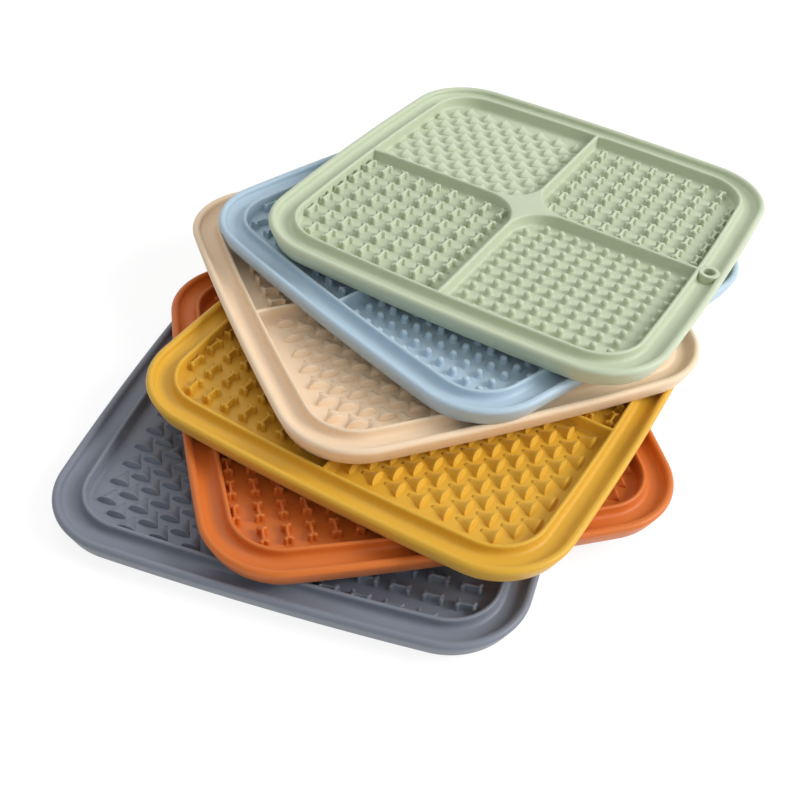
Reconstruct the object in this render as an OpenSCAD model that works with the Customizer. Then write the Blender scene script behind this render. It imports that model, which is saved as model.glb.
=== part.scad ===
// Fanned stack of six square silicone lick mats. Each mat is one moulding with a
// round lip, a moat, an inner rim, two dividers that cross at a four-pointed
// plate, a hang hole, and four fields of bones, drops, bones and dots.

/* [Mat] */
// Width of one mat across the middles of two opposite sides
mat_side = 200; // [190:1:230]
// Height of one mat, from its underside to the top of its lip and rims
mat_h = 10; // [9:0.5:14]
// Radius of the outer corners
corner_r = 38; // [30:1:45]
// Thickness of the floor under the fields
floor_t = 4; // [3:0.1:5]
// Gap between one mat and the next in the stack
stack_gap = 0.3; // [0.2:0.1:1]

/* [Edge] */
// How far the foot of the outer wall lies inside the lip
foot_inset = 3.2; // [1:0.1:5]
// Width of the round lip
lip_w = 3.5; // [2.6:0.1:4.4]
// Width of the moat between the lip and the inner rim
moat_w = 7.9; // [7:0.1:11]
// Height of the moat's floor above the underside
moat_floor = 6; // [4:0.1:7]
// Width of the inner rim and of the dividers
rim_w = 2; // [1.6:0.1:2.6]

/* [Centre and hang hole] */
// Radius of the rounded inner corner of each field, which shapes the centre plate
star_r = 19; // [12:1:24]
// Diameter of the hang hole
hole_d = 5.5; // [4:0.5:6]
// Wall of the ring around the hang hole
ring_wall = 2.2; // [1.6:0.1:2.6]

/* [Dots] */
// Diameter of a dot at its foot
dot_d = 3.8; // [3:0.1:4.6]
// Diameter of a dot at its top
dot_top_d = 2.4; // [1.6:0.1:2.8]
// Height of a dot above the floor
dot_h = 3.4; // [2:0.1:4.5]
// Distance between the rows of dots
dot_pitch = 7.6; // [6:0.1:10]
// Distance from the middle of a divider to the first row of dots
dot_start = 7.8; // [5:0.1:10]

/* [Bones] */
// Length of a bone
bone_len = 9; // [7:0.1:10]
// Width of a bone across its knobs
bone_w = 4.4; // [4:0.1:6]
// Diameter of a bone's knobs
knob_d = 2.2; // [1.8:0.1:3]
// Width of a bone's shaft
shaft_w = 1.7; // [1.4:0.1:2.4]
// Height of a bone above the floor
bone_h = 3.4; // [2:0.1:4.5]
// Distance between the columns of bones
bone_pitch = 9.4; // [7:0.1:12]
// Distance between the rows of bones
bone_row_pitch = 13; // [11:0.1:16]
// Distance from the middle of a divider to the first column of bones
bone_start = 8.4; // [6:0.1:12]
// Distance from the middle of a divider to the first row of bones
bone_row_start = 10; // [7:0.1:12]

/* [Drops] */
// Length of a drop, from its steep face to its tail
drop_len = 8.6; // [7:0.1:10]
// Width of a drop at its steep face
drop_w = 8.4; // [7:0.1:10]
// Height of a drop's crest above the floor
drop_h = 3; // [2:0.1:4.5]
// Distance from a drop's crest to the foot of its steep face
drop_face_run = 1.2; // [0.6:0.1:2]
// Distance between the drops of one row
drop_pitch = 11.1; // [10:0.1:14]
// Distance between the rows of drops
drop_row_pitch = 6.9; // [6:0.1:10]
// Distance from the middle of a divider to the first crest of a row
drop_start = 10.2; // [8:0.1:12]
// Distance from the middle of a divider to the first row of drops
drop_row_start = 13.4; // [8:0.1:16]

/* [Hidden] */

// Place of each mat's middle from the lowest mat's, as shares of the side
place_shares = [[0, 0], [0.133, 0.101], [0.184, 0.149], [0.178, 0.361], [0.274, 0.482], [0.382, 0.555]];
// Turn of each mat, with its hang hole at zero degrees
turns = [77.5, 197, 153.2, 116.2, -44.3, -27.3];

half = mat_side / 2;
// Middle of a corner's arcs, along X and Y
corner_c = half - corner_r;

lip_r = lip_w / 2;
moat_end = lip_w + moat_w;
rim_end = moat_end + rim_w;
lip_base = mat_h - lip_r;
rim_base = mat_h - rim_w / 2;
// The swept edge and the floor plate end at these shares of the way from the rim
// to the middle of a corner, so that they overlap
edge_end_share = 0.6;
plate_end_share = 0.3;
edge_end = rim_end + (corner_r - rim_end) * edge_end_share;
plate_half = half - rim_end - (corner_r - rim_end) * plate_end_share;

// The centre plate's cutting arcs run inside the dividers' faces by this share of
// their width
star_inset_share = 0.35;
star_c = star_r + rim_w * star_inset_share;
ring_r = hole_d / 2 + ring_wall;
ring_c = half - lip_w - moat_w / 2;
divider_half = half - moat_end - rim_w / 2;

// Depth that every raised shape reaches into the floor
sink = floor_t / 4;
// Length that a cut runs past the faces it opens
overrun = 1;
// Least room between a bump and the rim, divider or plate beside it
bump_room = 0.3;

field_reach = half - rim_end - bump_room;
field_corner_r = corner_r - rim_end - bump_room;

arc_steps = 24;
lip_steps = 6;
moat_steps = 5;
rim_steps = 4;
// Angle at which the moat's round leaves the lip
moat_angle = 195;

// Points of a quarter or half round, from angle a0 to a1 in n steps
function arc_points(cx, cz, rx, rz, a0, a1, n) =
    [for (i = [0:n]) let (a = a0 + (a1 - a0) * i / n) [cx + rx * cos(a), cz + rz * sin(a)]];

// Section of the mat's edge as inset from the side and height
edge_section = concat(
    [[edge_end, floor_t], [edge_end, 0], [foot_inset, 0]],
    arc_points(lip_r, lip_base, lip_r, lip_r, 180, 0, lip_steps),
    arc_points(moat_end, lip_base, moat_w, lip_base - moat_floor, moat_angle, 270, moat_steps),
    arc_points(moat_end + rim_w / 2, rim_base, rim_w / 2, rim_w / 2, 180, 0, rim_steps),
    [[rim_end, floor_t]]
);

// The edge's section with the side standing at x = reach
module edge_outline(reach) {
    polygon([for (p = edge_section) [reach - p[0], p[1]]]);
}

module side_edge() {
    rotate([90, 0, 0])
        linear_extrude(2 * corner_c, center = true)
            edge_outline(half);
}

module corner_edge() {
    translate([corner_c, corner_c])
        rotate_extrude(angle = 90, $fn = arc_steps * 8)
            edge_outline(corner_r);
}

module tray() {
    for (turn = [0:90:270])
        rotate(turn) {
            side_edge();
            corner_edge();
        }
    translate([-plate_half, -plate_half])
        cube([2 * plate_half, 2 * plate_half, floor_t]);
}

// Four-pointed plate where the dividers cross
module centre_outline() {
    difference() {
        square(2 * star_c, center = true);
        for (turn = [0:90:270])
            rotate(turn)
                translate([star_c, star_c])
                    circle(star_r, $fn = arc_steps * 4);
    }
}

module dividers() {
    rise = mat_h - floor_t + sink;
    translate([0, 0, floor_t - sink]) {
        for (turn = [0, 90])
            rotate(turn)
                translate([-divider_half, -rim_w / 2])
                    cube([2 * divider_half, rim_w, rise]);
        linear_extrude(rise)
            centre_outline();
    }
}

// True where a bump of radius r at (u, v) stays inside a field
function in_field(u, v, r) =
    u + r < field_reach && v + r < field_reach
    && !(u > corner_c && v > corner_c && norm([u - corner_c, v - corner_c]) + r > field_corner_r)
    && !(u < star_c && v < star_c && norm([u - star_c, v - star_c]) + r > star_r - bump_room);

// Number of steps from start that stay inside a field
function steps_in(start, pitch) = floor((field_reach - start) / pitch);

module dot() {
    translate([0, 0, -sink])
        cylinder(h = dot_h + sink, d1 = dot_d, d2 = dot_top_d, $fn = arc_steps);
}

module dot_field() {
    for (i = [0:steps_in(dot_start, dot_pitch)], j = [0:steps_in(dot_start, dot_pitch)]) {
        u = dot_start + i * dot_pitch;
        v = dot_start + j * dot_pitch;
        if (in_field(u, v, dot_d / 2))
            translate([u, v, floor_t])
                dot();
    }
}

module bone() {
    knob_x = (bone_w - knob_d) / 2;
    knob_y = (bone_len - knob_d) / 2;
    translate([0, 0, -sink])
        linear_extrude(bone_h + sink) {
            for (x = [-knob_x, knob_x], y = [-knob_y, knob_y])
                translate([x, y])
                    circle(d = knob_d, $fn = arc_steps);
            square([shaft_w, 2 * knob_y + knob_d / 2], center = true);
        }
}

module bone_field() {
    for (i = [0:steps_in(bone_start, bone_pitch)], j = [0:steps_in(bone_row_start, bone_row_pitch)]) {
        u = bone_start + i * bone_pitch;
        v = bone_row_start + j * bone_row_pitch;
        if (in_field(u, v, bone_w / 2))
            translate([u, v, floor_t])
                bone();
    }
}

// True where a drop with its crest at (u, v) and its tail towards u = 0 stays inside a field
function drop_fits(u, v) =
    in_field(u, v + drop_w / 2, 0) && in_field(u, v - drop_w / 2, 0)
    && in_field(u + drop_face_run, v, 0) && in_field(u + drop_face_run - drop_len - bump_room, v, 0);

// A hood of a cone's form, with its crest over the origin and its steep face at +x
module drop() {
    hood_r = (pow(drop_w / 2, 2) + pow(drop_h, 2)) / (2 * drop_h);
    hood_drop = hood_r - drop_h;
    slope = atan2(hood_drop, drop_len);
    reach = 1 + drop_face_run / drop_len;
    intersection() {
        translate([drop_face_run - drop_w, 0, -sink])
            cylinder(h = sink + drop_h + overrun, r = drop_w, $fn = arc_steps * 2);
        translate([drop_face_run - drop_len, 0, 0])
            rotate([0, 90 + slope, 0])
                cylinder(h = norm([drop_len, hood_drop]) * reach, r1 = 0, r2 = hood_r * reach, $fn = arc_steps * 2);
        translate([drop_face_run - drop_len, -drop_w / 2, -sink])
            cube([drop_len, drop_w, sink + drop_h + overrun]);
    }
}

module drop_field() {
    for (j = [0:steps_in(drop_row_start, drop_row_pitch)], i = [0:steps_in(drop_start, drop_pitch)]) {
        shift = j % 2 == 1 ? drop_pitch / 2 : 0;
        u = drop_start + shift + i * drop_pitch;
        v = drop_row_start + j * drop_row_pitch;
        if (drop_fits(u, v))
            translate([u, v, floor_t])
                drop();
    }
}

module mat() {
    difference() {
        union() {
            tray();
            dividers();
            translate([ring_c, 0, sink])
                cylinder(h = mat_h - sink, r = ring_r, $fn = arc_steps * 2);
            bone_field();
            rotate(180)
                bone_field();
            mirror([1, 0])
                drop_field();
            mirror([0, 1])
                dot_field();
        }
        translate([ring_c, 0, -overrun])
            cylinder(h = mat_h + 2 * overrun, d = hole_d, $fn = arc_steps * 2);
    }
}

// Mat number k of the stack, counted from the lowest
module stacked_mat(k) {
    translate([place_shares[k][0] * mat_side, place_shares[k][1] * mat_side, k * (mat_h + stack_gap)])
        rotate(turns[k])
            mat();
}

module grey_mat() {
    color([0.37, 0.43, 0.47])
        stacked_mat(0);
}

module orange_mat() {
    color([0.72, 0.36, 0.24])
        stacked_mat(1);
}

module mustard_mat() {
    color([0.80, 0.60, 0.27])
        stacked_mat(2);
}

module beige_mat() {
    color([0.86, 0.79, 0.69])
        stacked_mat(3);
}

module blue_mat() {
    color([0.62, 0.74, 0.78])
        stacked_mat(4);
}

module green_mat() {
    color([0.69, 0.75, 0.62])
        stacked_mat(5);
}

grey_mat();
orange_mat();
mustard_mat();
beige_mat();
blue_mat();
green_mat();
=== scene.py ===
"""Fanned stack of square silicone lick mats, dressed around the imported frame."""
import logging
import math
from dataclasses import dataclass

import bmesh
import bpy
import numpy as np
from mathutils import Matrix, Vector


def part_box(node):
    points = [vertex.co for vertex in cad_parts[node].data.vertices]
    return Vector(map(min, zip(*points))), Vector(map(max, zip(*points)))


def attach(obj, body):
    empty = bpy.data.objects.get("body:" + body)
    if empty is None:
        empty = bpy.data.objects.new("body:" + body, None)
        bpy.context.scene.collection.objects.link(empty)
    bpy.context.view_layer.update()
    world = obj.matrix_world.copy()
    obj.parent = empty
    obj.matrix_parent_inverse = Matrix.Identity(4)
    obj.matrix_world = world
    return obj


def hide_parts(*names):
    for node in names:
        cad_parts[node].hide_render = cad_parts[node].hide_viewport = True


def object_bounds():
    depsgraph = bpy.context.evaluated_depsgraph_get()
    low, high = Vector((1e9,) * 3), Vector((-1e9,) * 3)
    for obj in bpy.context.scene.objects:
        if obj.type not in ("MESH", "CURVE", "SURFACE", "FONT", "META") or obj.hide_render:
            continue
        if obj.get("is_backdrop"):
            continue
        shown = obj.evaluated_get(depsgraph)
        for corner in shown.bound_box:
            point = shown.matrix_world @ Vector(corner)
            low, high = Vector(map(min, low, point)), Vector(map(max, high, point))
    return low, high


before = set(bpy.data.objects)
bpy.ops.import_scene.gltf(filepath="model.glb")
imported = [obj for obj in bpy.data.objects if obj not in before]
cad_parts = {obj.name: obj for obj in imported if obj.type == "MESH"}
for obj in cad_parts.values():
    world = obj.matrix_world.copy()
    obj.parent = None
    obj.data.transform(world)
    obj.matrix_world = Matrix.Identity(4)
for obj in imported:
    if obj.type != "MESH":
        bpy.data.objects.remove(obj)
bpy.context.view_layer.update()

LOG = logging.getLogger("lick_mats")
MM = 0.001
WHITE = (1.0, 1.0, 1.0, 1.0)
# Points of a section, as pairs of a place across and a height
Profile = tuple[tuple[float, float], ...]


# Meshes

class Surface:
    """Points and faces of one piece, gathered patch by patch, in millimetres."""

    def __init__(self) -> None:
        """Starts with no points and no faces."""
        self.points: list[np.ndarray] = []
        self.faces: list[list[int]] = []
        self.count = 0

    def _take(self, points: np.ndarray) -> int:
        """Adds points and gives the number of the first.

        Args:
            points: Array of shape (n, 3).

        Returns:
            The place of the first new point among all points.
        """
        first = self.count
        self.points.append(points.reshape(-1, 3))
        self.count += len(self.points[-1])
        return first

    def add_grid(self, grid: np.ndarray, wrap_rows: bool = False,
                 wrap_columns: bool = False) -> None:
        """Adds a sheet of four-sided faces between neighbouring grid points.

        Args:
            grid: Array of shape (rows, columns, 3).
            wrap_rows: Joins the last row to the first.
            wrap_columns: Joins the last column to the first.
        """
        rows, columns = grid.shape[:2]
        index = self._take(grid) + np.arange(rows * columns).reshape(rows, columns)
        if wrap_rows:
            index = np.vstack([index, index[:1]])
        if wrap_columns:
            index = np.hstack([index, index[:, :1]])
        quads = np.stack([index[:-1, :-1], index[1:, :-1], index[1:, 1:], index[:-1, 1:]], axis=-1)
        self.faces.extend(quads.reshape(-1, 4).tolist())

    def add_polygon(self, ring: np.ndarray) -> None:
        """Adds one flat face.

        Args:
            ring: Its corners in order, of shape (n, 3).
        """
        first = self._take(ring)
        self.faces.append(list(range(first, self.count)))

    def add_fan(self, centre: np.ndarray, rim: np.ndarray) -> None:
        """Adds a ring of triangles from a centre to an open rim.

        Args:
            centre: The middle point.
            rim: Points of the rim in order, of shape (n, 3).
        """
        first = self._take(np.vstack([centre, rim]))
        edge = first + 1 + np.arange(len(rim))
        fan = np.stack([np.full(len(rim) - 1, first), edge[:-1], edge[1:]], axis=-1)
        self.faces.extend(fan.tolist())

    def add_copies(self, form: "Surface", places: np.ndarray) -> None:
        """Adds a form once at each place.

        Args:
            form: The surface to repeat.
            places: Shifts of the copies, of shape (n, 3).
        """
        unit = np.vstack(form.points)
        for place in places:
            first = self._take(unit + place)
            self.faces.extend([[first + corner for corner in face] for face in form.faces])

    def mesh(self, name: str, weld: float = 0.0005) -> bpy.types.Mesh:
        """Builds the mesh, with double points merged and faces turned outwards.

        Args:
            name: Name of the mesh.
            weld: Distance in millimetres under which points merge.

        Returns:
            A smooth shaded mesh in metres.
        """
        mesh = bpy.data.meshes.new(name)
        mesh.from_pydata((np.vstack(self.points) * MM).tolist(), [], self.faces)
        work = bmesh.new()
        work.from_mesh(mesh)
        bmesh.ops.remove_doubles(work, verts=work.verts, dist=weld * MM)
        bmesh.ops.recalc_face_normals(work, faces=work.faces)
        work.to_mesh(mesh)
        work.free()
        mesh.shade_smooth()
        return mesh


def arc(centre: tuple[float, float], radii: tuple[float, float], start: float, end: float,
        steps: int) -> np.ndarray:
    """Points of an upright or flat round: centre + radii * (cos a, sin a).

    Args:
        centre: Middle of the round.
        radii: Half widths along the two directions.
        start: First angle in degrees.
        end: Last angle in degrees.
        steps: Number of stretches between the points.

    Returns:
        Array of shape (steps + 1, 2).
    """
    angle = np.radians(np.linspace(start, end, steps + 1))
    across = centre[0] + radii[0] * np.cos(angle)
    along = centre[1] + radii[1] * np.sin(angle)
    return np.stack([across, along], axis=-1)


def turned(points: np.ndarray, quarters: int) -> np.ndarray:
    """Turns points by quarter turns about the mat's middle.

    Args:
        points: Array whose last axis is x, y, z.
        quarters: Number of quarter turns.

    Returns:
        The turned points.
    """
    result = points
    for _ in range(quarters % 4):
        result = np.stack([-result[..., 1], result[..., 0], result[..., 2]], axis=-1)
    return result


@dataclass(frozen=True)
class MatSizes:
    """Sizes of one mat in millimetres, the same for all mats."""

    half: float = 100.0
    height: float = 10.0
    corner_radius: float = 34.0
    # Radius of the slight bow of each side
    side_radius: float = 1450.0
    # Heights of the fields' floor and of the moat's floor above the underside
    floor: float = 4.0
    moat_floor: float = 6.0
    # How far the foot of the outer wall lies inside the lip
    foot_inset: float = 3.2
    lip_width: float = 3.5
    moat_width: float = 7.9
    rim_width: float = 2.0
    # Radius of each field's rounded inner corner, which shapes the centre plate
    star_radius: float = 19.0
    hole_radius: float = 2.75
    ring_wall: float = 2.2
    # Depth that each bump reaches into the floor
    sink: float = 0.4

    @property
    def rim_middle(self) -> float:
        """Inset of the inner rim's middle line from the side."""
        return self.lip_width + self.moat_width + self.rim_width / 2

    @property
    def rim_half(self) -> float:
        """Half of the width of the inner rim and the dividers."""
        return self.rim_width / 2

    @property
    def corner_middle(self) -> float:
        """Middle of a corner arc that is tangent to both bowed sides."""
        reach = self.side_radius - self.half
        root = math.sqrt(2 * (self.side_radius - self.corner_radius) ** 2 - reach**2)
        return (root - reach) / 2

    @property
    def ring_middle(self) -> float:
        """Distance of the hang hole from the mat's middle."""
        return self.half - self.lip_width - self.moat_width / 2


@dataclass(frozen=True)
class Tray:
    """The moulding's walls: lip, moat, inner rim, dividers, centre plate and floor."""

    sizes: MatSizes
    corner_steps: int = 26
    star_steps: int = 20
    # Distances from the middle of a side at which its bow has a station
    side_places: tuple[float, ...] = (0.0, 4.2, 9.0, 16.0, 23.0, 30.0, 37.0, 44.0, 51.0, 57.0)
    # Distances from the mat's middle at which a divider has a station
    divider_places: tuple[float, ...] = (80.0, 68.0, 56.0, 44.0, 32.0)
    # Round at the inner rim's foot in the moat: inset of its middle from the rim, and radii
    moat_foot_middle: float = 2.3
    moat_foot: tuple[float, float] = (2.15, 2.4)
    # Half width of the moat's round beside the lip
    moat_round: float = 4.4
    # Edge of the underside: insets from the foot, and heights
    underside_profile: Profile = ((-0.35, 0.75), (0.1, 0.12), (0.6, 0.0), (1.2, 0.0))
    # Wall of a field down to its floor: offsets from the wall's face, and heights above the floor
    wall_profile: Profile = ((0.12, 3.2), (0.3, 1.2), (0.55, 0.5), (0.95, 0.14), (1.5, 0.0),
                             (1.9, 0.0))

    def stations(self) -> tuple[np.ndarray, np.ndarray, np.ndarray]:
        """Stations along a quarter of the outline, from the +x side's middle to the +y side's.

        The side is an arc of the side radius and the corner an arc of the corner radius,
        so a curve at any inset is the same arcs with smaller radii.

        Returns:
            Arc centres (n, 2), outward angles (n,) and radii (n,).
        """
        s = self.sizes
        shift = s.half - s.side_radius
        turn = math.atan2(s.corner_middle, s.corner_middle - shift)
        side = np.arcsin(np.array(self.side_places) / s.side_radius)
        corner = np.linspace(turn, math.pi / 2 - turn, self.corner_steps + 1)
        angles = np.concatenate([side, corner, math.pi / 2 - side[::-1]])
        count = len(side)
        centres = np.concatenate([
            np.tile([shift, 0.0], (count, 1)),
            np.tile([s.corner_middle, s.corner_middle], (len(corner), 1)),
            np.tile([0.0, shift], (count, 1)),
        ])
        radii = np.concatenate([
            np.full(count, s.side_radius),
            np.full(len(corner), s.corner_radius),
            np.full(count, s.side_radius),
        ])
        return centres, angles, radii

    def offset(self, insets: np.ndarray) -> np.ndarray:
        """Points of a quarter outline drawn in by each inset: centre + (radius - inset) * normal.

        Args:
            insets: Insets of shape (m,).

        Returns:
            Array of shape (stations, m, 2).
        """
        centres, angles, radii = self.stations()
        normal = np.stack([np.cos(angles), np.sin(angles)], axis=-1)
        reach = radii[:, None] - insets[None, :]
        return centres[:, None, :] + reach[..., None] * normal[:, None, :]

    def outer_section(self) -> np.ndarray:
        """Section from the inner rim's middle over the moat and the lip to the underside.

        Returns:
            Insets and heights, of shape (m, 2).
        """
        s = self.sizes
        half = s.rim_half
        lip = s.lip_width / 2
        moat_end = s.lip_width + s.moat_width
        lip_base = s.height - lip
        rim_round = arc((s.rim_middle, s.height - half), (half, half), 98, 180, 5)
        foot_middle = (moat_end - self.moat_foot_middle, s.moat_floor + self.moat_foot[1])
        rim_foot = arc(foot_middle, self.moat_foot, 0, -86, 6)
        moat_radii = (self.moat_round, lip_base - s.moat_floor)
        moat = arc((s.lip_width + self.moat_round, lip_base), moat_radii, 268, 184, 8)
        lip_round = arc((lip, lip_base), (lip, lip), 0, 190, 12)
        foot = np.array(self.underside_profile) + [s.foot_inset, 0.0]
        start = np.array([[s.rim_middle, s.height]])
        return np.vstack([start, rim_round, rim_foot, moat, lip_round, foot])

    def well_section(self) -> np.ndarray:
        """Section from a rib's middle line down its wall to the field's floor.

        Returns:
            Offsets into the field from the wall's face, and heights, of shape (m, 2).
        """
        s = self.sizes
        half = s.rim_half
        round_top = arc((-half, s.height - half), (half, half), 82, 0, 5)
        wall = np.array(self.wall_profile) + [0.0, s.floor]
        return np.vstack([[[-half, s.height]], round_top, wall])

    def add_edge(self, surface: Surface) -> None:
        """Adds the swept edge and the plain underside.

        Args:
            surface: The surface that takes them.
        """
        section = self.outer_section()
        quarter = self.offset(section[:, 0])
        height = np.broadcast_to(section[:, 1], quarter.shape[:2])
        band = np.concatenate([quarter, height[..., None]], axis=-1)
        loop = np.concatenate([turned(band[:-1], k) for k in range(4)])
        surface.add_grid(loop, wrap_rows=True)
        surface.add_polygon(loop[:, -1])

    def well(self) -> np.ndarray:
        """Wall of the field at +x, +y, as rows of the section round the field's outline.

        The outline runs along the rim, down one divider, round the centre plate's
        arc and out along the other divider. At the rim's two ends both offsets
        meet on the mitre line.

        Returns:
            Array of shape (rows, m, 3).
        """
        s = self.sizes
        section = self.well_section()
        offset = section[:, 0]
        rim = self.offset(s.rim_middle + s.rim_half + offset)[1:-1]
        shift = s.half - s.side_radius
        radius = s.side_radius - s.rim_middle - s.rim_half - offset
        face = s.rim_half + offset
        mitre_x = shift + np.sqrt(radius**2 - face**2)
        mitre = np.stack([mitre_x, face], axis=-1)[None]
        reach = s.star_radius + s.rim_half
        along = np.array(self.divider_places)[:, None]
        out_x = np.broadcast_to(along, (len(along), len(offset)))
        out_y = np.broadcast_to(face, out_x.shape)
        divider = np.stack([out_x, out_y], axis=-1)
        angle = np.radians(np.linspace(0, 90, self.star_steps + 1))[:, None]
        star_x = reach - (s.star_radius - offset) * np.sin(angle)
        star_y = reach - (s.star_radius - offset) * np.cos(angle)
        star = np.stack([star_x, star_y], axis=-1)
        outline = np.concatenate([
            mitre, rim, mitre[..., ::-1], divider[..., ::-1], star[::-1], divider[::-1],
        ])
        height = np.broadcast_to(section[:, 1], outline.shape[:2])
        return np.concatenate([outline, height[..., None]], axis=-1)

    def surface(self) -> Surface:
        """All walls and floors as one closed skin."""
        s = self.sizes
        result = Surface()
        self.add_edge(result)
        well = self.well()
        reach = s.star_radius + s.rim_half
        star = arc((reach, reach), (reach, reach), 270, 180, self.star_steps)
        plate = np.column_stack([star, np.full(len(star), s.height)])
        for quarter in range(4):
            result.add_grid(turned(well, quarter), wrap_rows=True)
            result.add_polygon(turned(well[:, -1], quarter))
            result.add_fan(np.array([0.0, 0.0, s.height]), turned(plate, quarter))
        return result


@dataclass(frozen=True)
class HangRing:
    """The ring round the hang hole, which stands in the moat."""

    sizes: MatSizes
    steps: int = 40
    # Radius of the rounded edges at the top
    edge: float = 0.45
    # Height of the ring's lower end above the underside
    lift: float = 0.02
    # Wall at the lower end, which is hidden in the tray
    low_wall: float = 1.0
    # How far the bore through the tray is wider than the hole
    clearance: float = 0.5
    # How far the cutter stands out at both ends
    overrun: float = 1.0

    def revolved(self, section: np.ndarray) -> Surface:
        """Carries a closed section round the hole's axis.

        Args:
            section: Radii and heights, of shape (m, 2).

        Returns:
            The closed surface.
        """
        angle = np.linspace(0, 2 * math.pi, self.steps, endpoint=False)[:, None]
        ring_x = self.sizes.ring_middle + section[:, 0] * np.cos(angle)
        ring_y = section[:, 0] * np.sin(angle)
        height = np.broadcast_to(section[:, 1], ring_x.shape)
        result = Surface()
        grid = np.stack([ring_x, ring_y, height], axis=-1)
        result.add_grid(grid, wrap_rows=True, wrap_columns=True)
        return result

    def surface(self) -> Surface:
        """The ring itself, with round edges at its top."""
        s = self.sizes
        inner = s.hole_radius
        outer = s.hole_radius + s.ring_wall
        edge = self.edge
        top = s.height
        section = np.vstack([
            [[inner, self.lift], [inner, top / 2]],
            arc((inner + edge, top - edge), (edge, edge), 180, 95, 4),
            arc((outer - edge, top - edge), (edge, edge), 85, 0, 4),
            [[outer, s.floor / 2], [inner + self.low_wall, self.lift]],
        ])
        return self.revolved(section)

    def cutter(self) -> Surface:
        """The bore through the tray, hidden under the ring's wall."""
        s = self.sizes
        radius = s.hole_radius + self.clearance
        angle = np.linspace(0, 2 * math.pi, self.steps, endpoint=False)
        circle = np.stack([s.ring_middle + radius * np.cos(angle), radius * np.sin(angle)], axis=-1)
        low = np.column_stack([circle, np.full(self.steps, -self.overrun)])
        high = np.column_stack([circle, np.full(self.steps, s.height + self.overrun)])
        result = Surface()
        result.add_grid(np.stack([low, high], axis=1), wrap_rows=True)
        result.add_polygon(low)
        result.add_polygon(high)
        return result


# Bumps

@dataclass(frozen=True)
class Field:
    """The room for bumps in one field, in the field's own u and v from the dividers."""

    sizes: MatSizes
    # Least room between a bump and the wall beside it
    room: float = 0.3
    # Corner that bounds the pattern of bumps
    corner_radius: float = 38.0
    # How far the middle of the star's arc lies past its radius
    star_inset: float = 0.7

    @property
    def reach(self) -> float:
        """Distance from a divider's middle to the field's end."""
        return self.sizes.half - self.sizes.rim_middle - self.sizes.rim_half - self.room

    def fits(self, spots: np.ndarray, radius: float = 0.0) -> np.ndarray:
        """Tells which spots lie clear of the rim, its corner and the centre plate.

        Args:
            spots: Places along u and v, of shape (n, 2).
            radius: Half width of the bump.

        Returns:
            Array of truth values.
        """
        s = self.sizes
        u, v = spots[:, 0], spots[:, 1]
        middle = s.half - self.corner_radius
        corner = (u > middle) & (v > middle)
        corner &= np.hypot(u - middle, v - middle) + radius > self.reach - middle
        star_middle = s.star_radius + self.star_inset
        star = (u < star_middle) & (v < star_middle)
        star &= np.hypot(u - star_middle, v - star_middle) + radius > s.star_radius - self.room
        return (u + radius < self.reach) & (v + radius < self.reach) & ~corner & ~star

    def lattice(self, starts: tuple[float, float], pitches: tuple[float, float],
                shift: float = 0.0) -> np.ndarray:
        """Places of a regular pattern, with every second row shifted.

        Args:
            starts: First place along u and along v.
            pitches: Steps along u and along v.
            shift: Shift along u of the rows with an odd number.

        Returns:
            Array of shape (n, 2).
        """
        along_v = np.arange(starts[1], self.reach, pitches[1])
        u, v = np.meshgrid(np.arange(starts[0], self.reach, pitches[0]), along_v)
        u = u + np.where(np.arange(len(along_v)) % 2 == 1, shift, 0.0)[:, None]
        return np.column_stack([u.ravel(), v.ravel()])


def capped_bump(rings: np.ndarray, depth: float) -> Surface:
    """A bump from its rings, foot first, closed by flat faces at top and bottom.

    Args:
        rings: Array of shape (levels, around, 3).
        depth: Height of the hidden bottom.

    Returns:
        The closed surface.
    """
    bottom = rings[0].copy()
    bottom[:, 2] = depth
    result = Surface()
    grid = np.concatenate([bottom[None], rings]).transpose(1, 0, 2)
    result.add_grid(grid, wrap_rows=True)
    result.add_polygon(rings[-1])
    result.add_polygon(bottom[::-1])
    return result


def outline_normals(outline: np.ndarray) -> np.ndarray:
    """Outward normals of a closed outline, at right angles to its neighbours' chord.

    Args:
        outline: Points in counter-clockwise order, of shape (n, 2).

    Returns:
        Unit vectors of shape (n, 2).
    """
    chord = np.roll(outline, -1, axis=0) - np.roll(outline, 1, axis=0)
    normal = np.stack([chord[:, 1], -chord[:, 0]], axis=-1)
    return normal / np.linalg.norm(normal, axis=1, keepdims=True)


@dataclass(frozen=True)
class Dots:
    """The field of round pegs."""

    sizes: MatSizes
    radius: float = 1.75
    rise: float = 3.4
    pitch: float = 7.6
    start: float = 7.8
    around: int = 12
    # Foot: how far it spreads past the radius, and heights
    foot: Profile = ((0.6, 0.0), (0.15, 0.4), (0.0, 1.1))
    # Dome: shares of the radius, and depths below the top
    dome: Profile = ((0.93, 1.2), (0.74, 0.5), (0.4, 0.08))
    # Room that the soft foot takes beside the radius
    margin: float = 0.15

    def form(self) -> Surface:
        """One dot: a soft foot, a short wall and a dome."""
        floor = self.sizes.floor
        foot = np.array(self.foot) + [self.radius, 0.0]
        dome = np.array(self.dome) * [self.radius, -1.0] + [0.0, self.rise]
        section = np.vstack([foot, dome])
        angle = np.linspace(0, 2 * math.pi, self.around, endpoint=False)
        ring_x = section[:, :1] * np.cos(angle)
        ring_y = section[:, :1] * np.sin(angle)
        height = np.broadcast_to(floor + section[:, 1:], ring_x.shape)
        return capped_bump(np.stack([ring_x, ring_y, height], axis=-1), floor - self.sizes.sink)

    def surface(self) -> Surface:
        """All dots, in the field at +x, -y."""
        field = Field(self.sizes)
        spots = field.lattice((self.start, self.start), (self.pitch, self.pitch))
        spots = spots[field.fits(spots, self.radius + self.margin)]
        places = np.column_stack([spots[:, 0], -spots[:, 1], np.zeros(len(spots))])
        result = Surface()
        result.add_copies(self.form(), places)
        return result


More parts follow.
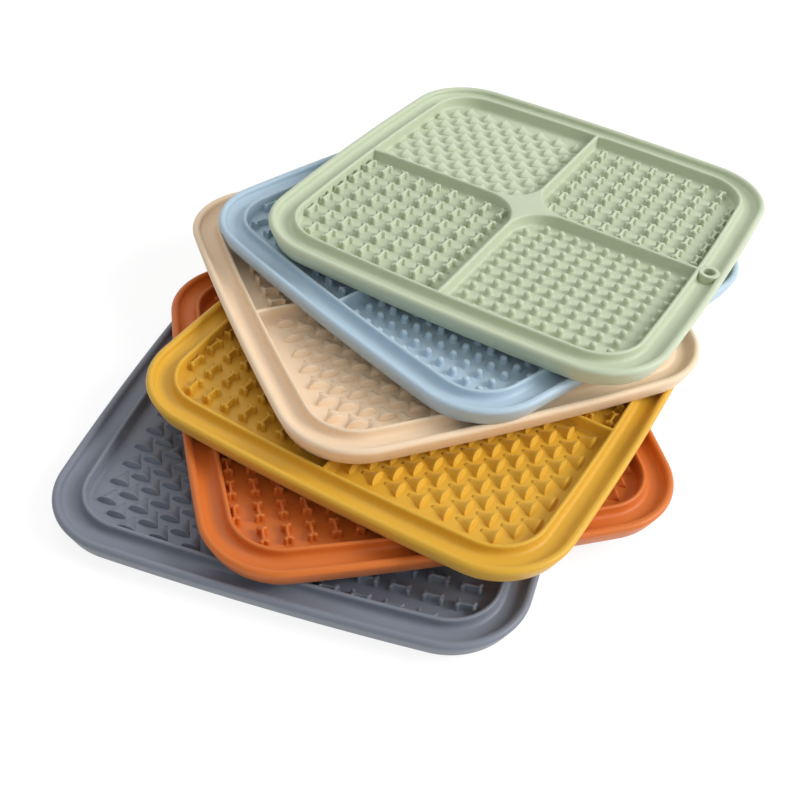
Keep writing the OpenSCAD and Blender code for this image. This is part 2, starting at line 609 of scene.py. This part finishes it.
@dataclass(frozen=True)
class Bones:
    """The two fields of small bones."""

    sizes: MatSizes
    length: float = 8.8
    width: float = 4.4
    knob: float = 2.1
    shaft: float = 1.4
    rise: float = 3.4
    pitches: tuple[float, float] = (9.4, 13.0)
    starts: tuple[float, float] = (8.4, 10.0)
    # Where the shaft meets a knob, and the notch between two knobs, in knob radii
    shaft_end: float = 1.05
    notch: float = 0.2
    # Foot: how far it spreads past the outline, and heights
    foot: Profile = ((0.25, 0.0), (0.0, 0.5))
    # Shoulder: how far it spreads past the outline, and depths below the top
    shoulder: Profile = ((-0.04, 0.8), (-0.36, 0.1))

    def outline(self) -> np.ndarray:
        """Outline of a bone along v: two knobs at each end, joined by a narrow shaft."""
        r = self.knob / 2
        knob_x = self.width / 2 - r
        knob_y = self.length / 2 - r
        knob = arc((knob_x, knob_y), (r, r), -105, 135, 4)
        shaft = [[self.shaft / 2, 0.0], [self.shaft / 2, knob_y - self.shaft_end * r]]
        quarter = np.vstack([shaft, knob])
        notch = np.array([[0.0, knob_y + self.notch * r]])
        mirrored = (quarter[1:] * [-1, 1])[::-1]
        upper = np.vstack([quarter, notch, mirrored])
        return np.vstack([upper, -upper])

    def form(self) -> Surface:
        """One bone: its outline drawn in step by step over the height."""
        base = self.outline()
        normal = outline_normals(base)
        floor = self.sizes.floor
        shoulder = np.array(self.shoulder) * [1.0, -1.0] + [0.0, self.rise]
        levels = np.vstack([self.foot, shoulder])
        plan = base[None] + levels[:, :1, None] * normal[None]
        height = np.broadcast_to(floor + levels[:, 1:], plan.shape[:2])
        rings = np.concatenate([plan, height[..., None]], axis=-1)
        return capped_bump(rings, floor - self.sizes.sink)

    def surface(self) -> Surface:
        """All bones, in the fields at +x, +y and at -x, -y."""
        field = Field(self.sizes)
        spots = field.lattice(self.starts, self.pitches)
        spots = spots[field.fits(spots, self.width / 2)]
        spots = np.vstack([spots, -spots])
        result = Surface()
        result.add_copies(self.form(), np.column_stack([spots, np.zeros(len(spots))]))
        return result


@dataclass(frozen=True)
class Drops:
    """The field of drops: half cones whose wide ends are cut off by a leaning plane."""

    sizes: MatSizes
    length: float = 8.6
    width: float = 8.4
    rise: float = 2.7
    face_run: float = 1.2
    bulge: float = 0.7
    pitches: tuple[float, float] = (10.75, 6.9)
    starts: tuple[float, float] = (7.0, 6.5)
    across: int = 10
    # Steep face from foot to crest: shares of its run, and of the rise
    face_profile: Profile = ((0.0, 0.0), (0.3, 0.3), (0.75, 0.74), (0.92, 0.9), (1.06, 0.97),
                             (1.25, 0.99))
    # Tail from crest to tip: shares of its length, and of the rise
    tail_profile: Profile = ((0.1, 0.9), (0.3, 0.63), (0.55, 0.34), (0.8, 0.11), (1.0, 0.0))
    # Share of the width that is lost at the tail's tip
    narrowing: float = 0.85
    # Power of the flanks' fall at the crest, and what it gains towards the middle of the tail
    flank_power: float = 0.5
    flank_gain: float = 1.1

    def form(self) -> Surface:
        """One drop with its steep face to -x and its crest near the origin.

        Across the drop the crest follows an arch. The face leans back from its
        bowed foot to the crest, whose edge is rounded. Behind it the tail falls,
        narrows and grows softer at its flanks.

        Returns:
            The closed surface.
        """
        floor = self.sizes.floor
        side = -np.cos(np.linspace(0, math.pi, self.across + 1))[:, None]
        round_off = np.clip(1 - side**2, 0, 1)
        arch = np.sqrt(round_off)
        face = np.array(self.face_profile)
        tail = np.array(self.tail_profile)
        foot_x = self.bulge * side**2 - self.face_run
        crest_x = foot_x + face[-1, 0] * self.face_run * arch
        tail_x = self.length - self.face_run
        place_x = np.hstack([foot_x + face[:, 0] * self.face_run * arch,
                             crest_x + (tail_x - crest_x) * tail[:, 0]])
        narrow = np.concatenate([np.ones(len(face)), 1 - self.narrowing * tail[:, 0]])
        place_y = side * self.width / 2 * narrow
        softer = np.minimum(tail[:, 0] * 2, 1)
        flank = round_off ** (self.flank_power + self.flank_gain * softer)
        height = floor + self.rise * np.hstack([arch * face[:, 1], flank * tail[:, 1]])
        grid = np.stack([place_x, place_y, height], axis=-1)
        result = Surface()
        result.add_grid(grid)
        ring = np.vstack([grid[:, 0], grid[-1, 1:], grid[-2::-1, -1], grid[0, -2:0:-1]])
        low = ring.copy()
        low[:, 2] = floor - self.sizes.sink
        result.add_grid(np.stack([ring, low], axis=1), wrap_rows=True)
        result.add_polygon(low)
        return result

    def surface(self) -> Surface:
        """All drops, in the field at -x, +y, with their steep faces to the rim.

        A drop beside a wall may stand partly inside it, as the walls cut the
        pattern off.
        """
        field = Field(self.sizes)
        spots = field.lattice(self.starts, self.pitches, self.pitches[0] / 2)
        side = np.array([0.0, self.width / 2])
        middle = np.array([self.face_run - self.length / 2, 0.0])
        kept = field.fits(spots + side) & field.fits(spots - side)
        kept &= field.fits(spots) & field.fits(spots + middle)
        spots = spots[kept]
        places = np.column_stack([-spots[:, 0], spots[:, 1], np.zeros(len(spots))])
        result = Surface()
        result.add_copies(self.form(), places)
        return result


# Finishes

class Shade:
    """A shader value: wraps a node's output and writes maths as plain expressions."""

    def __init__(self, tree: bpy.types.NodeTree, output: bpy.types.NodeSocket) -> None:
        """Keeps the tree and the output that the value comes from."""
        self.tree = tree
        self.output = output

    def _maths(self, operation: str, *values: "Shade | float") -> "Shade":
        """Adds one Math node.

        Args:
            operation: The node's operation.
            values: Its inputs in order.

        Returns:
            The node's value.
        """
        inputs = dict(enumerate(values))
        return add_node(self.tree, "ShaderNodeMath", {"operation": operation}, inputs)

    def __add__(self, other: "Shade | float") -> "Shade":
        """Sum."""
        return self._maths("ADD", self, other)

    def __sub__(self, other: "Shade | float") -> "Shade":
        """Difference."""
        return self._maths("SUBTRACT", self, other)

    def __rsub__(self, other: float) -> "Shade":
        """Difference from a number."""
        return self._maths("SUBTRACT", other, self)

    def __mul__(self, other: "Shade | float") -> "Shade":
        """Product."""
        return self._maths("MULTIPLY", self, other)

    __radd__ = __add__
    __rmul__ = __mul__


def add_node(tree: bpy.types.NodeTree, kind: str, settings: dict, inputs: dict,
             output: int | str = 0) -> Shade:
    """Adds any node.

    Args:
        tree: The node tree.
        kind: The node's type.
        settings: Attributes that are set first.
        inputs: Values or links of its sockets, by number or name.
        output: The output that is wanted, by number or name.

    Returns:
        The wanted output.
    """
    node = tree.nodes.new(kind)
    for name, value in settings.items():
        setattr(node, name, value)
    for key, value in inputs.items():
        if isinstance(value, Shade):
            tree.links.new(value.output, node.inputs[key])
        else:
            node.inputs[key].default_value = value
    return Shade(tree, node.outputs[output])


def tint(hex_code: str) -> tuple[float, float, float, float]:
    """Turns a written screen colour into the shader's linear one.

    Args:
        hex_code: Six digits, two for each of red, green and blue.

    Returns:
        Linear red, green, blue and a full alpha.
    """
    values = np.array([int(hex_code[i:i + 2], 16) for i in (0, 2, 4)]) / 255
    linear = np.where(values <= 0.04045, values / 12.92, ((values + 0.055) / 1.055) ** 2.4)
    return (float(linear[0]), float(linear[1]), float(linear[2]), 1.0)


@dataclass(frozen=True)
class Silicone:
    """Moulded silicone rubber: an even tint with a faint cloud and a fine matt grain."""

    name: str
    colour: str
    deep: str
    roughness: float = 0.46
    sheen: float = 0.12
    sheen_roughness: float = 0.5
    refraction: float = 1.41
    # Scales of the two noises, and their shares in the mix of the two tints
    cloud_scale: float = 22.0
    grain_scale: float = 1400.0
    cloud_share: float = 0.7
    grain_share: float = 0.3
    # How far each noise changes the roughness
    cloud_rough: float = 0.12
    grain_rough: float = 0.06
    # Strength of the grain's relief, and its depth in metres
    grain: float = 0.05
    grain_depth: float = 0.0002

    def material(self) -> bpy.types.Material:
        """Builds the material on Object coordinates."""
        material = bpy.data.materials.new(self.name)
        material.use_nodes = True
        tree = material.node_tree
        tree.nodes.clear()
        place = add_node(tree, "ShaderNodeTexCoord", {}, {}, "Object")
        cloud = add_node(tree, "ShaderNodeTexNoise", {}, {
            "Vector": place, "Scale": self.cloud_scale, "Detail": 4.0, "Roughness": 0.6,
        })
        grain = add_node(tree, "ShaderNodeTexNoise", {}, {
            "Vector": place, "Scale": self.grain_scale, "Detail": 2.0,
        })
        share = cloud * self.cloud_share + grain * self.grain_share
        mix = add_node(tree, "ShaderNodeMix", {"data_type": "RGBA"},
                       {0: share, 6: tint(self.deep), 7: tint(self.colour)}, 2)
        rough = (self.roughness + (cloud - 0.5) * self.cloud_rough
                 + (grain - 0.5) * self.grain_rough)
        bump = add_node(tree, "ShaderNodeBump", {}, {
            "Strength": self.grain, "Distance": self.grain_depth, "Height": grain,
        })
        skin = add_node(tree, "ShaderNodeBsdfPrincipled", {}, {
            "Base Color": mix, "Roughness": rough, "Normal": bump, "IOR": self.refraction,
            "Sheen Weight": self.sheen, "Sheen Roughness": self.sheen_roughness,
        })
        add_node_output(tree, skin)
        return material


def add_node_output(tree: bpy.types.NodeTree, skin: Shade) -> None:
    """Ends a material with its output node.

    Args:
        tree: The node tree.
        skin: The shader to show.
    """
    end = tree.nodes.new("ShaderNodeOutputMaterial")
    tree.links.new(skin.output, end.inputs["Surface"])


# Mats

@dataclass(frozen=True)
class MatForms:
    """The meshes that all mats share, about one mat's own middle."""

    sizes: MatSizes

    def tray(self) -> bpy.types.Mesh:
        """The tray with its hang hole cut through."""
        body = bpy.data.objects.new("tray_form", Tray(self.sizes).surface().mesh("tray_form"))
        cutter = bpy.data.objects.new("bore_form", HangRing(self.sizes).cutter().mesh("bore_form"))
        for item in (body, cutter):
            bpy.context.scene.collection.objects.link(item)
        cut = body.modifiers.new("hang_hole", "BOOLEAN")
        cut.operation = "DIFFERENCE"
        cut.solver = "EXACT"
        cut.object = cutter
        graph = bpy.context.evaluated_depsgraph_get()
        mesh = bpy.data.meshes.new_from_object(body.evaluated_get(graph))
        for item in (body, cutter):
            bpy.data.objects.remove(item)
        mesh.shade_smooth()
        return mesh

    def forms(self) -> dict[str, bpy.types.Mesh]:
        """All meshes of a mat by piece name."""
        s = self.sizes
        return {
            "tray": self.tray(),
            "ring": HangRing(s).surface().mesh("ring_form"),
            "bones": Bones(s).surface().mesh("bones_form"),
            "dots": Dots(s).surface().mesh("dots_form"),
            "drops": Drops(s).surface().mesh("drops_form"),
        }


@dataclass(frozen=True)
class StackedMat:
    """One mat of the stack."""

    node: str
    turn: float
    finish: Silicone

    def build(self, forms: dict[str, bpy.types.Mesh]) -> None:
        """Lays the mat's pieces where its node lies.

        Args:
            forms: The shared meshes by piece name.
        """
        low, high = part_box(self.node)
        middle = (low + high) / 2
        place = Matrix.Translation(Vector((middle.x, middle.y, low.z))) @ Matrix.Rotation(
            math.radians(self.turn), 4, "Z")
        material = self.finish.material()
        for name, form in forms.items():
            mesh = form.copy()
            mesh.transform(place)
            mesh.materials.clear()
            mesh.materials.append(material)
            piece = bpy.data.objects.new(f"{self.node}_{name}", mesh)
            bpy.context.scene.collection.objects.link(piece)
            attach(piece, self.node)
            if name == "tray":
                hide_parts(self.node)
            LOG.info("%s: %d faces", piece.name, len(mesh.polygons))


MATS = (
    StackedMat("grey_mat", 77.5, Silicone("slate_silicone", "7b818e", "737a86")),
    StackedMat("orange_mat", 197.0, Silicone("terracotta_silicone", "d37024", "cc6a20")),
    StackedMat("mustard_mat", 153.2, Silicone("mustard_silicone", "ddab30", "d6a42a")),
    StackedMat("beige_mat", 116.2, Silicone("beige_silicone", "efd5b5", "e9cead")),
    StackedMat("blue_mat", -44.3, Silicone("blue_silicone", "b4cad9", "adc3d2")),
    StackedMat("green_mat", -27.3, Silicone("sage_silicone", "c3cdb2", "bcc7aa")),
)


# Studio

@dataclass(frozen=True)
class SoftBox:
    """A square studio lamp."""

    name: str
    place: tuple[float, float, float]
    size: float
    power: float

    def build(self, target: Vector) -> None:
        """Hangs the lamp and aims it.

        Args:
            target: The point that it lights.
        """
        lamp = bpy.data.lights.new(self.name, "AREA")
        lamp.shape = "SQUARE"
        lamp.size = self.size
        lamp.energy = self.power
        holder = bpy.data.objects.new(self.name, lamp)
        holder.location = self.place
        holder.rotation_euler = (target - Vector(self.place)).to_track_quat("-Z", "Y").to_euler()
        bpy.context.scene.collection.objects.link(holder)


@dataclass(frozen=True)
class Studio:
    """White floor, white surroundings, soft lamps and the camera."""

    floor_reach: float = 4.0
    # How far the floor lies under the lowest mat
    floor_drop: float = 0.0001
    floor_grey: float = 0.9
    # Strength of the floor's own white, and its share in what the camera sees
    floor_glow: float = 1.12
    glow_share: float = 0.75
    ambient: float = 0.46
    camera_place: tuple[float, float, float] = (0.0246, -0.3314, 0.3278)
    camera_pitch: float = 42.26
    camera_roll: float = 5.67
    focal_pixels: float = 1046.1
    frame_pixels: float = 800.0
    sensor: float = 36.0
    clip: tuple[float, float] = (0.01, 20.0)
    lamps: tuple[SoftBox, ...] = (
        SoftBox("right_softbox", (1.5, -0.05, 1.05), 0.8, 24.0),
        SoftBox("front_softbox", (1.1, -1.0, 0.9), 1.1, 2.5),
        SoftBox("back_softbox", (-0.35, 0.7, 1.4), 1.0, 4.0),
    )

    def seen(self, tree: bpy.types.NodeTree) -> Shade:
        """One where a ray comes straight from the camera, a mirror or glass, else nought."""
        rays = {name: add_node(tree, "ShaderNodeLightPath", {}, {}, name)
                for name in ("Is Camera Ray", "Is Glossy Ray", "Is Transmission Ray")}
        total = rays["Is Camera Ray"] + rays["Is Glossy Ray"] + rays["Is Transmission Ray"]
        return add_node(tree, "ShaderNodeMath", {"operation": "MINIMUM"}, {0: total, 1: 1.0})

    def build_floor(self) -> None:
        """Lays a pale floor that keeps the object's soft shadow."""
        reach = self.floor_reach
        corners = np.array([[-reach, -reach], [reach, -reach], [reach, reach], [-reach, reach]])
        corners = np.column_stack([corners, np.full(len(corners), -self.floor_drop)])
        mesh = bpy.data.meshes.new("floor")
        mesh.from_pydata(corners.tolist(), [], [[0, 1, 2, 3]])
        material = bpy.data.materials.new("floor_white")
        material.use_nodes = True
        tree = material.node_tree
        tree.nodes.clear()
        grey = self.floor_grey
        matt = add_node(tree, "ShaderNodeBsdfDiffuse", {}, {"Color": (grey, grey, grey, 1.0)})
        glow = add_node(tree, "ShaderNodeEmission", {}, {
            "Color": WHITE, "Strength": self.floor_glow,
        })
        share = self.seen(tree) * self.glow_share
        blend = add_node(tree, "ShaderNodeMixShader", {}, {0: share, 1: matt, 2: glow})
        add_node_output(tree, blend)
        mesh.materials.append(material)
        floor = bpy.data.objects.new("floor", mesh)
        bpy.context.scene.collection.objects.link(floor)
        floor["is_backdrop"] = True

    def build_world(self) -> None:
        """Surrounds the scene with white that lights it at a plain level."""
        world = bpy.data.worlds.new("studio_white")
        bpy.context.scene.world = world
        world.use_nodes = True
        tree = world.node_tree
        tree.nodes.clear()
        seen = self.seen(tree)
        strength = self.ambient + seen * (1.0 - self.ambient)
        sky = add_node(tree, "ShaderNodeBackground", {}, {"Color": WHITE, "Strength": strength})
        end = tree.nodes.new("ShaderNodeOutputWorld")
        tree.links.new(sky.output, end.inputs["Surface"])

    def build_camera(self) -> None:
        """Sets the camera where the view was taken from, tilted down and rolled a little."""
        pitch = math.radians(self.camera_pitch)
        roll = math.radians(self.camera_roll)
        ahead = Vector((0.0, math.cos(pitch), -math.sin(pitch)))
        level_up = Vector((0.0, math.sin(pitch), math.cos(pitch)))
        level_right = Vector((1.0, 0.0, 0.0))
        right = math.cos(roll) * level_right + math.sin(roll) * level_up
        up = math.cos(roll) * level_up - math.sin(roll) * level_right
        data = bpy.data.cameras.new("camera")
        data.sensor_fit = "HORIZONTAL"
        data.sensor_width = self.sensor
        data.lens = self.focal_pixels * self.sensor / self.frame_pixels
        data.clip_start, data.clip_end = self.clip
        camera = bpy.data.objects.new("camera", data)
        turn = Matrix((right, up, -ahead)).transposed().to_4x4()
        camera.matrix_world = Matrix.Translation(Vector(self.camera_place)) @ turn
        bpy.context.scene.collection.objects.link(camera)
        bpy.context.scene.camera = camera

    def build(self) -> None:
        """Sets up floor, surroundings, lamps and camera."""
        self.build_floor()
        self.build_world()
        low, high = (Vector(corner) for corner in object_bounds())
        for lamp in self.lamps:
            lamp.build((low + high) / 2)
        self.build_camera()
        bpy.context.scene.view_settings.view_transform = "Standard"


def main() -> None:
    """Builds the mats and the studio."""
    logging.basicConfig(level=logging.INFO, format="%(message)s")
    forms = MatForms(MatSizes()).forms()
    for mat in MATS:
        mat.build(forms)
    Studio().build()


if __name__ == "__main__":
    main()
